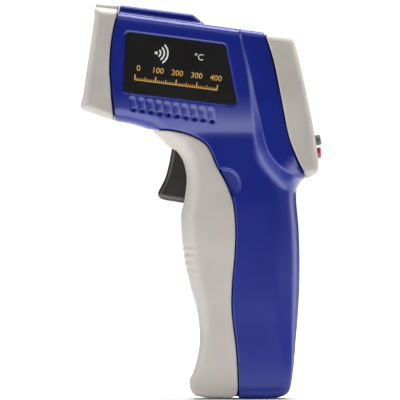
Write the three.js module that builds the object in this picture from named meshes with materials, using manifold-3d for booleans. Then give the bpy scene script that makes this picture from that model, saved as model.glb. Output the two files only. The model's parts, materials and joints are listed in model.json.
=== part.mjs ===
// Infrared thermometer with a pistol grip, as an assembly of separate pieces.
// Millimetres, +Z up, the nose points to -X, and the left side faces -Y.
import * as THREE from 'three';
import { mergeVertices } from 'three/addons/utils/BufferGeometryUtils.js';
import Module from 'manifold-3d';

const wasm = await Module();
wasm.setup();

// Driving dimensions
const gap = 0.3; // between pieces that touch
const wall = 2; // thickness of the moulded shells
const barrelHalfWidth = 18.8;
const headHalfWidth = 20.6;
const bezelHalfWidth = 21.5;
const noseHalfWidth = 20;
const handleHalfWidth = 16;
const railHalfWidth = 7.6;
const triggerHalfWidth = 6.5;
const batterySize = { thick: 17.5, wide: 26.5, tall: 46.4 };
const batteryX = 10.7;
const batteryBottom = 14;
const pocketBack = 19.8; // the rear wall of the battery pocket
const pocketFloor = 9;
const pocketTop = 77;
const doorHinge = { x: 12.3, z: 3.2, pin: 1 };
const triggerHinge = { x: -7.4, z: 104.8, pin: 1 };
const switchHeight = 95.5;
const noseFace = { x: -46.5, z: 140, pitch: 8, recess: 6.5 };
const rearFace = { x: 43.3, z: 125.5, pitch: -11.5 };
const lensDrop = 6; // the lens axis is this far below the middle of the nose
const laserRise = 11;
const windowSize = { wide: 28, tall: 20, rise: 5 };
const screwPlaces = [[-18, 152.6], [14, 147.2], [-31.3, 117.6], [30, 84], [32, 12]];
const boardScrewPlaces = [[-9.5, 121.5], [11, 138]];

// Materials: colour, roughness, metalness
const plastics = {
  blue: [0x1a2a92, 0.42, 0],
  grey: [0xb9b2aa, 0.5, 0],
  blackPlastic: [0x17171a, 0.5, 0],
  trigger: [0x2b2422, 0.45, 0],
  darkKey: [0x55585a, 0.55, 0],
  redKey: [0xc02230, 0.45, 0],
  label: [0x0f0c0a, 0.35, 0],
  clear: [0xbfd0d8, 0.08, 0],
  lcd: [0x8f9a86, 0.2, 0],
  diffuser: [0xe9ecec, 0.4, 0],
  board: [0x1d6a3a, 0.5, 0],
  rubber: [0x242426, 0.85, 0],
  foam: [0x3a3a3d, 0.95, 0],
  flexFilm: [0x9a6a2c, 0.4, 0],
  batteryCase: [0x2e3034, 0.4, 0.3],
  redWire: [0xb3202a, 0.5, 0],
  blackWire: [0x1a1a1c, 0.5, 0],
};
const metals = {
  steel: [0xb8babd, 0.3, 1],
  brass: [0xb89a52, 0.3, 1],
  silicon: [0x5a5560, 0.15, 0.6],
};

function material(name) {
  const [color, roughness, metalness] = plastics[name] ?? metals[name];
  return new THREE.MeshStandardMaterial({ name, color, roughness, metalness });
}

// A closed geometry as a solid that can be joined and cut.
function solid(body) {
  if (!body.isBufferGeometry) return body;
  const bare = body.clone();
  bare.deleteAttribute('normal');
  bare.deleteAttribute('uv');
  const merged = mergeVertices(bare, 1e-4);
  const mesh = new wasm.Mesh({
    numProp: 3,
    vertProperties: new Float32Array(merged.attributes.position.array),
    triVerts: new Uint32Array(merged.index.array),
  });
  return new wasm.Manifold(mesh);
}

function geometryOf(body) {
  const mesh = body.getMesh();
  const geometry = new THREE.BufferGeometry();
  geometry.setAttribute('position', new THREE.BufferAttribute(mesh.vertProperties, 3));
  geometry.setIndex(new THREE.BufferAttribute(mesh.triVerts, 1));
  return geometry;
}

function joined(bodies) {
  return bodies.map(solid).reduce((all, body) => all.add(body));
}

function without(body, cutters) {
  return cutters.map(solid).reduce((left, cutter) => left.subtract(cutter), solid(body));
}

function common(body, ...others) {
  return others.map(solid).reduce((left, other) => left.intersect(other), solid(body));
}

// A closed outline in the side view: every item is a corner, or a list that a smooth curve follows.
function outline(items) {
  const shape = new THREE.Shape();
  items.forEach((item, index) => {
    if (index === 0) {
      shape.moveTo(...item);
    } else if (Array.isArray(item[0])) {
      shape.splineThru(item.map(([x, z]) => new THREE.Vector2(x, z)));
    } else {
      shape.lineTo(...item);
    }
  });
  return shape;
}

// An outline made as wide as the piece, with round edges along both sides.
function slab(shape, halfWidth, round = 0, inset = 0, segments = 2) {
  const depth = 2 * (halfWidth - round);
  const geometry = new THREE.ExtrudeGeometry(shape, {
    depth,
    curveSegments: segments,
    bevelEnabled: round > 0,
    bevelThickness: round,
    bevelSize: round,
    bevelOffset: -round - inset,
    bevelSegments: 2,
  });
  return geometry.translate(0, 0, -depth / 2).rotateX(Math.PI / 2);
}

// A flat outline between two distances along Y.
function plate(shape, yFrom, yTo, segments = 4) {
  const geometry = new THREE.ExtrudeGeometry(shape, {
    depth: yTo - yFrom,
    curveSegments: segments,
    bevelEnabled: false,
  });
  return geometry.rotateX(Math.PI / 2).translate(0, yTo, 0);
}

function box(xRange, yRange, zRange) {
  const size = [xRange, yRange, zRange].map(([from, to]) => to - from);
  const middle = [xRange, yRange, zRange].map(([from, to]) => (from + to) / 2);
  return new THREE.BoxGeometry(...size).translate(...middle);
}

function rodAlongY(x, z, radius, yFrom, yTo, sides = 20) {
  const geometry = new THREE.CylinderGeometry(radius, radius, yTo - yFrom, sides);
  return geometry.translate(x, (yFrom + yTo) / 2, z);
}

function rodAlongX(y, z, radius, xFrom, xTo, sides = 24) {
  const geometry = new THREE.CylinderGeometry(radius, radius, xTo - xFrom, sides);
  return geometry.rotateZ(Math.PI / 2).translate((xFrom + xTo) / 2, y, z);
}

function rodUp(x, y, radius, zFrom, zTo, sides) {
  const geometry = new THREE.CylinderGeometry(radius, radius, zTo - zFrom, sides);
  return geometry.rotateX(Math.PI / 2).translate(x, y, (zFrom + zTo) / 2);
}

function roundedRect(width, height, radius) {
  const shape = new THREE.Shape();
  const x = width / 2 - radius;
  const y = height / 2 - radius;
  shape.absarc(x, y, radius, 0, Math.PI / 2);
  shape.absarc(-x, y, radius, Math.PI / 2, Math.PI);
  shape.absarc(-x, -y, radius, Math.PI, Math.PI * 1.5);
  shape.absarc(x, -y, radius, Math.PI * 1.5, Math.PI * 2);
  return shape;
}

// A rounded block whose face points along +X: wide is along Y and tall along Z.
function faceBlock(width, height, radius, xFrom, xTo, y = 0, z = 0) {
  const geometry = new THREE.ExtrudeGeometry(roundedRect(width, height, radius), {
    depth: xTo - xFrom,
    curveSegments: 3,
    bevelEnabled: false,
  });
  return geometry.rotateX(Math.PI / 2).rotateZ(Math.PI / 2).translate(xFrom, y, z);
}

// Local frames on the nose and the rear face, turned about Y: +Z is up the face.
function frameOf({ x, z, pitch }) {
  return new THREE.Matrix4().makeRotationY(THREE.MathUtils.degToRad(pitch)).setPosition(x, 0, z);
}

const onNose = (geometry) => geometry.applyMatrix4(frameOf(noseFace));
const onRear = (geometry) => geometry.applyMatrix4(frameOf(rearFace));

// Side outlines of the outer shape
const barrelOutline = outline([
  [-42, 159.7], [-42, 115.2], [-30.3, 113.1], [-20.6, 110.2], [8, 107], [34, 112], [36, 149],
]);
const headOutline = outline([
  [16.5, 150.8],
  [20.4, 134.8],
  [[23.4, 119.6], [25.3, 109.2], [29, 99], [34, 91.6]],
  [46, 90], [40, 147.5],
]);
const railOutline = outline([[-42, 162.7], [-42, 150], [1.4, 150], [0.9, 154.2], [-3.5, 157.9]]);
const handleOutline = outline([
  [-21, 124], [-20.9, 110.3],
  [[-13.2, 103.1], [-7.3, 97.4], [-5.9, 90.1], [-6.9, 79.8], [-8.1, 69.2], [-6.5, 57.4]],
  [[-4.2, 45.2], [-1, 33.7], [-0.7, 22.1], [-2.2, 13]],
  [-4.6, 0.6], [4, 0], [37, 0],
  [[38.6, 20], [40.4, 42], [40.6, 58], [39.9, 72], [39.4, 82]],
  [43, 93], [43, 108], [30, 124],
]);
const noseOutline = outline([
  [-43.4, 161.4], [-49.4, 119.2], [-35.4, 113.9], [-28, 112.4], [-28, 159.5],
]);
const noseRailOutline = outline([[-43.3, 162.6], [-43.3, 150], [-28, 150], [-28, 161.2]]);
const noseBoreOutline = outline([
  [-60, 161.8], [-60, 126], [-49.1, 122], [-35.4, 116.9], [-24, 114.6], [-24, 156.6],
]);
const bezelOutline = outline([
  [18, 151.1], [18, 96], [40, 88.8], [47.2, 92.2], [48.4, 97],
  [45.4, 114.5], [43.3, 125.4], [40, 140.3], [37.8, 148.2],
]);

// Seams between the pieces, from the top down, each as a region that holds one side of it
const noseSeam = [
  [-33.2, 162], [-34.6, 156.9], [-37, 143.5], [-37.4, 135.6], [-37, 128.5],
  [-35.4, 113.9], [-34.9, 111],
];
const bezelSeam = [
  [25.6, 151.5], [28.3, 143.2], [31.2, 130.6], [34.4, 114.6], [37, 104.3], [39.6, 98.1],
  [43.6, 90], [46, 86],
];
const doorSeam = [
  [-14, 110.4], [-3.7, 108], [4.4, 100.7], [7.3, 94.1], [11.2, 86.6], [13.6, 77.9], [14.4, 67.2],
  [12.6, 40], [14.7, 20.5], [15.3, 8],
];

const shifted = (points, dx, dz = 0) => points.map(([x, z]) => [x + dx, z + dz]);
const half = gap / 2;

function regionAhead(seam, dx) {
  const curve = shifted(seam, dx);
  const last = curve[curve.length - 1];
  return outline([[-70, 175], [curve[0][0], 175], curve[0], curve.slice(1), [last[0], -10], [-70, -10]]);
}

function regionBehind(seam, dx) {
  const curve = shifted(seam, dx);
  const last = curve[curve.length - 1];
  return outline([[70, 175], [curve[0][0], 175], curve[0], curve.slice(1), [last[0], -10], [70, -10]]);
}

function doorRegion(dx, dz) {
  const curve = shifted(doorSeam, dx, dz);
  const bottom = curve[curve.length - 1];
  return outline([[-70, -10], [-70, 110.4 + dz], curve[0], curve.slice(1), [bottom[0], -10]]);
}

const wide = (shape) => slab(shape, 40, 0, 0, 5);

// Outer and inner bodies of the blue and grey mouldings
const outerBody = joined([
  slab(barrelOutline, barrelHalfWidth, 3.4),
  slab(headOutline, headHalfWidth, 2.6),
  slab(railOutline, railHalfWidth, 1.4),
  slab(handleOutline, handleHalfWidth, 6),
]);
const innerBody = joined([
  slab(barrelOutline, barrelHalfWidth - wall, 2, wall),
  slab(headOutline, headHalfWidth - wall, 1.6, wall),
  slab(handleOutline, handleHalfWidth - wall, 2.6, wall),
]);

// The space behind the partition that follows the door seam
const mainCavityRegion = outline([
  [-70, 175], [70, 175], [70, -10], [pocketBack + 1.8, -10], [pocketBack + 1.8, pocketTop - 4],
  [
    [pocketBack + 0.9, pocketTop], [15.4, 84.6], [11.2, 92], [9, 96.4],
    [6.4, 102.6], [2.6, 107.2], [-3.2, 110.3], [-14, 112.6],
  ],
  [-26, 114], [-70, 112],
]);
const pocketRegion = outline([
  [-30, pocketFloor], [pocketBack, pocketFloor],
  [pocketBack, pocketTop - 2], [pocketBack - 1, pocketTop], [-30, pocketTop],
]);

const pieces = new THREE.Group();
pieces.name = 'infrared_thermometer';

function add(name, body, look) {
  const mesh = new THREE.Mesh(geometryOf(solid(body)), material(look));
  mesh.name = name;
  pieces.add(mesh);
}

// Blue halves: shells with a partition, screw bosses, hinge lugs and trigger ears
const labelOutline = outline([[-31.2, 150.9], [10.2, 145.5], [15.2, 120], [-32.4, 125.5]]);
const filmOutline = outline([[-30.8, 150.4], [9.8, 145.1], [14.7, 120.5], [-31.9, 125.9]]);
const labelRecess = 0.7;
const labelThickness = 0.35;

function hingeLug(side) {
  const near = Math.min(side * 9, side * 12.4);
  const far = Math.max(side * 9, side * 12.4);
  const { x, z } = doorHinge;
  return joined([
    rodAlongY(x, z, 2.2, near, far),
    box([x, x + 5.5], [near, far], [z - 2.2, z + 2.2]),
  ]);
}

function triggerEar(side) {
  const near = Math.min(side * 7.2, side * 9.2);
  const far = Math.max(side * 7.2, side * 9.2);
  const { x, z } = triggerHinge;
  return joined([
    rodAlongY(x, z, 2, near, far, 16),
    box([x - 2, x + 2], [near, far], [z, 111.5]),
  ]);
}

function housing(side) {
  const [yFrom, yTo] = side < 0 ? [-40, -half] : [half, 40];
  const shell = without(outerBody, [
    common(innerBody, wide(mainCavityRegion)),
    common(innerBody, wide(pocketRegion)),
    wide(regionAhead(noseSeam, half)),
    wide(regionBehind(bezelSeam, -half)),
    wide(doorRegion(half, half)),
  ]);
  const bosses = screwPlaces.map(([x, z]) => {
    const reach = side * ((z > 100 ? barrelHalfWidth : handleHalfWidth) - wall + 0.5);
    return rodAlongY(x, z, 3.2, Math.min(0, reach), Math.max(0, reach), 14);
  });
  const postPlaces = side < 0 ? boardScrewPlaces : [];
  const boardPosts = postPlaces.map(([x, z]) => rodAlongY(x, z, 2.4, -17.5, -2.1, 14));
  const body = joined([shell, ...bosses, ...boardPosts, hingeLug(side), triggerEar(side)]);
  const labelFace = barrelHalfWidth - labelRecess;
  const [outside, inside] = side < 0 ? [-40, -labelFace] : [labelFace, 40];
  const screwHoles = screwPlaces.map(([x, z]) => rodAlongY(x, z, 1.4, -8, 20, 14));
  const headHoles = side > 0 ? screwPlaces.map(([x, z]) => rodAlongY(x, z, 2.6, 8, 30, 16)) : [];
  const boardHoles = postPlaces.map(([x, z]) => rodAlongY(x, z, 1.1, -9, 0, 12));
  return common(
    without(body, [
      plate(labelOutline, outside, inside),
      ...screwHoles,
      ...headHoles,
      ...boardHoles,
      rodAlongY(doorHinge.x, doorHinge.z, doorHinge.pin + gap, -13, 13, 16),
      rodAlongY(triggerHinge.x, triggerHinge.z, triggerHinge.pin + gap, -12, 12, 16),
      rodUp(17.6, side * 3, 1.5, pocketTop - 2, pocketTop + 7, 12),
    ]),
    box([-60, 60], [yFrom, yTo], [0, 170]),
  );
}
add('left_housing', housing(-1), 'blue');
add('right_housing', housing(1), 'blue');

// Nose: cap, front plate, lens and sensor, laser
function noseCap() {
  return without(joined([
    slab(noseOutline, noseHalfWidth, 3),
    slab(noseRailOutline, railHalfWidth + 0.4, 1.2),
  ]), [
    slab(noseBoreOutline, noseHalfWidth - 2.4, 2),
    wide(regionBehind(noseSeam, -half)),
  ]);
}
add('nose_cap', noseCap(), 'grey');

const plateDepth = noseFace.recess;
const plateBack = plateDepth + 1.8;

function frontPlate() {
  const blank = onNose(box([plateDepth, plateBack], [-30, 30], [-40, 40]));
  const fitted = common(slab(noseBoreOutline, noseHalfWidth - 2.4 - gap, 1.7, gap), blank);
  const laserBoss = onNose(rodAlongX(0, laserRise, 4.8, plateBack - 0.5, plateBack + 8));
  return without(joined([fitted, laserBoss]), [
    onNose(rodAlongX(0, -lensDrop, 9.3, 0, 20, 32)),
    onNose(rodAlongX(0, laserRise, 3.3, 0, 30)),
  ]);
}
add('front_plate', frontPlate(), 'blackPlastic');

// A tube round the lens axis, between two distances behind the nose face
function lensRing(start, end, outside, inside) {
  const section = [[outside, start], [outside, end], [inside, end], [inside, start], [outside, start]];
  const points = section.map(([radius, along]) => new THREE.Vector2(radius, along));
  const geometry = new THREE.LatheGeometry(points, 32);
  return onNose(geometry.rotateZ(-Math.PI / 2).translate(0, 0, -lensDrop));
}
const tubeStart = plateDepth - 2.5;
const tubeEnd = tubeStart + 20;
add('lens_tube', lensRing(tubeStart, tubeEnd, 9, 7.6), 'blackPlastic');
add('ir_lens', onNose(rodAlongX(0, -lensDrop, 7.3, tubeStart + 3, tubeStart + 4.6, 32)), 'silicon');

const holderStart = tubeEnd + gap;
const holderEnd = holderStart + 3;
add('sensor_holder', lensRing(holderStart, holderEnd, 9, 4.9), 'blackPlastic');
add('thermopile_sensor', onNose(rodAlongX(0, -lensDrop, 4.6, holderStart - 1.5, holderEnd)), 'steel');
const sensorBoardFront = holderEnd + gap;
const sensorBoard = faceBlock(17, 17, 2, sensorBoardFront, sensorBoardFront + 1.4, 0, -lensDrop);
add('sensor_board', onNose(sensorBoard), 'board');
add('laser_module', onNose(rodAlongX(0, laserRise, 3, plateDepth + 1.5, plateDepth + 15.5)), 'brass');
add('laser_window', onNose(rodAlongX(0, laserRise, 3, plateDepth + 0.2, plateDepth + 1.2)), 'clear');

// Display end: bezel, window, display stack, keys and their board
const keys = [
  { name: 'button_left', side: -8.2, rise: -19.8, size: [9.4, 4.2], top: 2.05, look: 'darkKey' },
  { name: 'button_right', side: 8.2, rise: -19.8, size: [9.4, 4.2], top: 2.05, look: 'darkKey' },
  { name: 'button_laser', side: 0, rise: -25, size: [11, 4.4], top: 0.9, look: 'redKey' },
];
const boardBack = -10.4;
const boardFront = boardBack + 1.5;
const switchFront = -6.4;
const keyBack = -4.8;

function displayBezel() {
  const inside = slab(bezelOutline, bezelHalfWidth - 2.2, 1.6, 2.2);
  const shell = without(slab(bezelOutline, bezelHalfWidth, 3), [inside]);
  const { wide: across, tall, rise } = windowSize;
  const opening = onRear(faceBlock(across + 2 * gap, tall + 2 * gap, 1.5, -6, 4, 0, rise));
  const keyHoles = keys.map(({ side, rise: keyRise, size: [w, h] }) => (
    onRear(faceBlock(w + 2 * gap, h + 2 * gap, h / 2 + gap - 0.01, -5, 6, side, keyRise))
  ));
  return without(shell, [opening, ...keyHoles, wide(regionAhead(bezelSeam, half))]);
}
add('display_bezel', displayBezel(), 'grey');
const displayWindow = faceBlock(windowSize.wide, windowSize.tall, 1.2, -2.4, -0.9, 0, windowSize.rise);
add('display_window', onRear(displayWindow), 'clear');
add('lcd_panel', onRear(faceBlock(30, 22.6, 0.5, -5.2, -3, 0, windowSize.rise)), 'lcd');
const backlight = faceBlock(29, 15, 0.5, boardFront + gap, -5.5, 0, windowSize.rise);
add('lcd_backlight', onRear(backlight), 'diffuser');
for (const [name, rise] of [['zebra_strip_upper', 9.6], ['zebra_strip_lower', -9.6]]) {
  const strip = faceBlock(28, 2, 0.2, boardFront + gap, -5.5, 0, windowSize.rise + rise);
  add(name, onRear(strip), 'rubber');
}
add('display_board', onRear(faceBlock(32, 46, 1.5, boardBack, boardFront, 0, -5.2)), 'board');

for (const { name, side, rise, size: [w, h], top, look } of keys) {
  const cap = onRear(faceBlock(w, h, h / 2 - 0.01, keyBack + 1, top, side, rise));
  const flange = onRear(faceBlock(w + 1.6, h + 0.6, 1, keyBack, keyBack + 1.2, side, rise));
  add(name, joined([cap, flange]), look);
  const switchName = name.replace('button', 'key_switch');
  add(switchName, onRear(faceBlock(4.4, 4, 0.4, boardFront + gap, switchFront, side, rise)), 'steel');
}

// Main board
const boardSide = { yFrom: -1.9, yTo: -0.4 };
function mainBoard() {
  const shape = outline([[-13, 143], [14, 139.4], [17, 117.4], [-13, 117.4]]);
  const holes = boardScrewPlaces.map(([x, z]) => rodAlongY(x, z, 1.2, -4, 4, 12));
  return without(plate(shape, boardSide.yFrom, boardSide.yTo), holes);
}
add('main_board', mainBoard(), 'board');
add('controller_chip', box([-4, 6], [-0.1, 1.5], [121, 131]), 'blackPlastic');
add('buzzer', rodAlongY(-6, 136, 5, -0.1, 4.6, 28), 'blackPlastic');
boardScrewPlaces.forEach(([x, z], index) => {
  const screw = joined([rodAlongY(x, z, 1.9, -0.1, 1.1, 14), rodAlongY(x, z, 0.8, -8, 0, 10)]);
  add(`board_screw_${index + 1}`, screw, 'steel');
});

function flexCable() {
  const path = new THREE.Shape();
  path.moveTo(15.2, 0.2);
  path.bezierCurveTo(20, 0.2, 20, 6, 25, 6);
  path.lineTo(30.6, 6);
  path.lineTo(30.6, 5.6);
  path.lineTo(25, 5.6);
  path.bezierCurveTo(20.4, 5.6, 20.4, -0.2, 15.2, -0.2);
  const geometry = new THREE.ExtrudeGeometry(path, { depth: 10, curveSegments: 6, bevelEnabled: false });
  return geometry.translate(0, 0, 124);
}
add('flex_cable', flexCable(), 'flexFilm');

// Trigger, its pin, spring and switch
const triggerOutline = outline([
  [-11.8, 104.1],
  [[-12.4, 100.4], [-14.7, 90.9], [-17.6, 84.2]],
  [-16.6, 82], [-14, 81.3], [-6, 80.1], [-2.6, 82], [-2.2, 98], [-5.2, 106], [-8.5, 107.6],
]);
function trigger() {
  const { x, z, pin } = triggerHinge;
  return without(slab(triggerOutline, triggerHalfWidth, 0.8), [rodAlongY(x, z, pin + gap, -9, 9, 16)]);
}
add('trigger', trigger(), 'trigger');
add('trigger_pin', rodAlongY(triggerHinge.x, triggerHinge.z, triggerHinge.pin, -9, 9, 14), 'steel');

const switchFace = 0.4;
function triggerSwitch() {
  const body = box([switchFace, 4.9], [-3.2, 3.2], [switchHeight - 3.6, switchHeight + 2.8]);
  return without(body, [rodAlongX(0, switchHeight, 1.5, switchFace - 1, switchFace + 3.2, 14)]);
}
add('trigger_switch', triggerSwitch(), 'blackPlastic');
add('trigger_switch_plunger', rodAlongX(0, switchHeight, 1.2, -1.9, switchFace + 1.4, 14), 'redKey');

// A round wire or lead swept along a curve
function alongPath(section, path, steps) {
  const options = { steps, curveSegments: 3, bevelEnabled: false, extrudePath: path };
  return new THREE.ExtrudeGeometry(section, options);
}

function triggerSpring() {
  const turns = 5;
  const radius = 1.9;
  const points = [];
  for (let step = 0; step <= turns * 8; step += 1) {
    const angle = (step / 8) * Math.PI * 2;
    const along = THREE.MathUtils.lerp(-1.8, 10.2, step / (turns * 8));
    points.push(new THREE.Vector3(along, radius * Math.cos(angle), 85.6 + radius * Math.sin(angle)));
  }
  const path = new THREE.CatmullRomCurve3(points);
  const wire = new THREE.Shape().absarc(0, 0, 0.28, 0, Math.PI * 2);
  return alongPath(wire, path, turns * 10);
}
add('trigger_spring', triggerSpring(), 'steel');

// Grey grip: the battery door, hinged at the foot of the handle
function batteryDoor() {
  const { x, z, pin } = doorHinge;
  const shell = without(common(outerBody, wide(doorRegion(-half, -half))), [
    common(innerBody, wide(doorRegion(10, 10))),
  ]);
  const knuckle = rodAlongY(x, z, 2.6, -8.7, 8.7, 24);
  const lugGaps = [-1, 1].map((side) => {
    const near = Math.min(side * 8.7, side * 12.7);
    const far = Math.max(side * 8.7, side * 12.7);
    return joined([
      rodAlongY(x, z, 2.8, near, far, 20),
      box([x, x + 9], [near, far], [z - 9, z + 3]),
      box([x - 3.6, x + 1], [near, far], [z - 9, z]),
    ]);
  });
  const corner = without(box([x, x + 9], [-30, 30], [-5, z]), [rodAlongY(x, z, 2.6, -30, 30, 24)]);
  const slotHalfWidth = triggerHalfWidth + 0.6;
  return without(joined([without(shell, [corner]), knuckle]), [
    ...lugGaps,
    box([-30, 4], [-slotHalfWidth, slotHalfWidth], [79, 104.9]),
    box([-9.8, 4], [-9.6, 9.6], [102, 112]),
    rodAlongY(x, z, pin + gap, -13.4, 13.4, 16),
  ]);
}
add('battery_door', batteryDoor(), 'grey');
add('door_hinge_pin', rodAlongY(doorHinge.x, doorHinge.z, doorHinge.pin, -12.9, 12.9, 14), 'steel');

// Battery, its snap, leads and pad
const batteryTop = batteryBottom + batterySize.tall;
function battery() {
  const geometry = new THREE.ExtrudeGeometry(roundedRect(batterySize.thick, batterySize.wide, 2), {
    depth: batterySize.tall,
    curveSegments: 3,
    bevelEnabled: false,
  });
  return geometry.translate(batteryX, 0, batteryBottom);
}
add('battery', battery(), 'batteryCase');

const terminalBottom = batteryTop + gap;
const terminalTop = terminalBottom + 2;
add('battery_terminal_positive', rodUp(batteryX, 6.35, 2.9, terminalBottom, terminalTop, 16), 'steel');
add('battery_terminal_negative', rodUp(batteryX, -6.35, 3.9, terminalBottom, terminalTop, 6), 'steel');
const snapBottom = terminalTop + gap;
function batterySnap() {
  const geometry = new THREE.ExtrudeGeometry(roundedRect(12.5, 25.5, 3), {
    depth: 2.6,
    curveSegments: 4,
    bevelEnabled: false,
  });
  return geometry.translate(batteryX, 0, snapBottom);
}
add('battery_snap', batterySnap(), 'rubber');
add('battery_pad', box([2.4, 19], [-12.5, 12.5], [pocketFloor + gap, batteryBottom - gap]), 'foam');

// Leads from the snap, up through the top of the battery pocket to the main board
function batteryLead(side, end) {
  const start = snapBottom + 2.6 + gap;
  const path = new THREE.CatmullRomCurve3([
    new THREE.Vector3(batteryX + 2, side * 3, start),
    new THREE.Vector3(batteryX + 3.4, side * 3, start + 3.6),
    new THREE.Vector3(17.4, side * 3, pocketTop - 2.4),
    new THREE.Vector3(17.6, side * 3, pocketTop + 2.6),
    new THREE.Vector3(18.6, side * 3.4, 90),
    new THREE.Vector3(14.5, side * 3.6, 106),
    ...end,
  ]);
  const wire = new THREE.Shape().absarc(0, 0, 0.7, 0, Math.PI * 2);
  return alongPath(wire, path, 24);
}
const leadEnd = (x, y) => [new THREE.Vector3(x, y, 113.5), new THREE.Vector3(x - 1.4, y, 119.5)];
add('battery_lead_red', batteryLead(1, leadEnd(12, 1.6)), 'redWire');
add('battery_lead_black', batteryLead(-1, leadEnd(12, -3.6)), 'blackWire');

// Screws that hold the two halves together, driven from the right
screwPlaces.forEach(([x, z], index) => {
  const head = rodAlongY(x, z, 2.2, 8.3, 10, 16);
  const shank = rodAlongY(x, z, 1.05, -7, 8.5, 12);
  add(`housing_screw_${index + 1}`, joined([head, shank]), 'steel');
});

// Side labels
for (const [name, side] of [['left_label', -1], ['right_label', 1]]) {
  const inner = side * (barrelHalfWidth - labelRecess + gap);
  const outer = inner + side * labelThickness;
  add(name, plate(filmOutline, Math.min(inner, outer), Math.max(inner, outer)), 'label');
}

export default pieces;
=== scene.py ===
import json
import math

import bpy
import numpy as np
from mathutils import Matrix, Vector


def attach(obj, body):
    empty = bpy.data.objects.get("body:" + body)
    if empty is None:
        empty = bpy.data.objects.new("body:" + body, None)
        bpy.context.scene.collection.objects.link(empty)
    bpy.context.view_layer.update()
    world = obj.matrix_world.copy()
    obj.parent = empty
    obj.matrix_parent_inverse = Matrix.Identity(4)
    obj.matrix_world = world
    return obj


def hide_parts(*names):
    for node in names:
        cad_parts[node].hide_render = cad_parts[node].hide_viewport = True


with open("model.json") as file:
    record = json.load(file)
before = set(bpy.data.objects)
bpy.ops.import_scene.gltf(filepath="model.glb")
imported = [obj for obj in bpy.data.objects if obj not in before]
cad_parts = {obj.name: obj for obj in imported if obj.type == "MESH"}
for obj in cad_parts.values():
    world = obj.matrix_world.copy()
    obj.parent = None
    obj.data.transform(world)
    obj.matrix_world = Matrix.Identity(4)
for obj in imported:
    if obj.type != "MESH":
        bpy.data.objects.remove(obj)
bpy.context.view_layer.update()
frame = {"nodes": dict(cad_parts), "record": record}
housingBody = "housing"
mm = 0.001


# Outlines and fields. They are worked out in millimetres, and a piece becomes metres when it is meshed.

# a smooth run of points through the given ones
def smooth(points, steps=8):
    given = np.array(points, float)
    ends = np.vstack([2 * given[0] - given[1], given, 2 * given[-1] - given[-2]])
    run = []
    for a, b, c, d in zip(ends, ends[1:], ends[2:], ends[3:]):
        for t in np.linspace(0, 1, steps, endpoint=False):
            run.append(0.5 * (2 * b + (c - a) * t + (2 * a - 5 * b + 4 * c - d) * t ** 2
                              + (3 * b - a - 3 * c + d) * t ** 3))
    return [tuple(p) for p in run] + [tuple(given[-1])]


# signed distance to a closed side outline, negative inside
def outlineDistance(grid, points):
    x, z = grid
    loop = np.array(points, float)
    following = np.roll(loop, -1, axis=0)
    nearest = np.full(np.broadcast(x, z).shape, 1e9)
    inside = np.zeros(nearest.shape, bool)
    for (ax, az), (bx, bz) in zip(loop, following):
        ex, ez = bx - ax, bz - az
        length = ex * ex + ez * ez
        if length < 1e-12:
            continue
        t = np.clip(((x - ax) * ex + (z - az) * ez) / length, 0, 1)
        nearest = np.minimum(nearest, (x - ax - t * ex) ** 2 + (z - az - t * ez) ** 2)
        if az != bz:
            crosses = ((az > z) != (bz > z)) & (x < ax + ex * (z - az) / ez)
            inside ^= crosses
    return np.where(inside, -1, 1) * np.sqrt(nearest)


# the larger of two fields, with an edge of this radius where they meet
def roundMax(a, b, radius):
    corner = np.sqrt(np.maximum(a + radius, 0) ** 2 + np.maximum(b + radius, 0) ** 2)
    return np.minimum(-radius, np.maximum(a, b)) + corner


def roundMin(a, b, radius):
    return -roundMax(-a, -b, radius)


def ramp(value, start, end):
    t = np.clip((value - start) / (end - start), 0, 1)
    return t * t * (3 - 2 * t)


# the surface where a field is zero, as vertices and quads
def surfaceOf(field, low, step):
    inside = field < 0
    size = [n - 1 for n in field.shape]
    corners = {key: tuple(slice(d, d + n) for d, n in zip(key, size)) for key in np.ndindex(2, 2, 2)}
    anyIn = np.zeros(size, bool)
    allIn = np.ones(size, bool)
    for part in corners.values():
        anyIn |= inside[part]
        allIn &= inside[part]
    cells = np.argwhere(anyIn & ~allIn)
    index = np.full(size, -1, np.int64)
    index[tuple(cells.T)] = np.arange(len(cells))
    values = {key: field[tuple((cells + key).T)] for key in corners}
    total = np.zeros((len(cells), 3))
    count = np.zeros(len(cells))
    for key in corners:
        for axis in range(3):
            if key[axis]:
                continue
            other = tuple(1 if i == axis else k for i, k in enumerate(key))
            a, b = values[key], values[other]
            cut = (a < 0) != (b < 0)
            t = np.where(cut, a / np.where(cut, a - b, 1), 0)
            place = np.tile(np.array(key, float), (len(cells), 1))
            place[:, axis] = t
            total += place * cut[:, None]
            count += cut
    vertices = np.array(low) + step * (cells + total / count[:, None])
    quads = []
    for axis in range(3):
        u, v = (axis + 1) % 3, (axis + 2) % 3
        here = [slice(None)] * 3
        there = [slice(None)] * 3
        here[axis] = slice(0, -1)
        there[axis] = slice(1, None)
        changes = np.argwhere(inside[tuple(here)] != inside[tuple(there)])
        changes = changes[(changes[:, u] > 0) & (changes[:, v] > 0)]
        changes = changes[(changes[:, u] < field.shape[u] - 1) & (changes[:, v] < field.shape[v] - 1)]
        leaving = inside[tuple(changes.T)]
        ring = []
        for du, dv in ((1, 1), (0, 1), (0, 0), (1, 0)):
            cell = changes.copy()
            cell[:, u] -= du
            cell[:, v] -= dv
            ring.append(index[tuple(cell.T)])
        ring = np.stack(ring, axis=1)
        ring[~leaving] = ring[~leaving][:, ::-1]
        quads.append(ring)
    return vertices, np.vstack(quads)


def addObject(name, data):
    piece = bpy.data.objects.new(name, data)
    bpy.context.scene.collection.objects.link(piece)
    return piece


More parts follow.
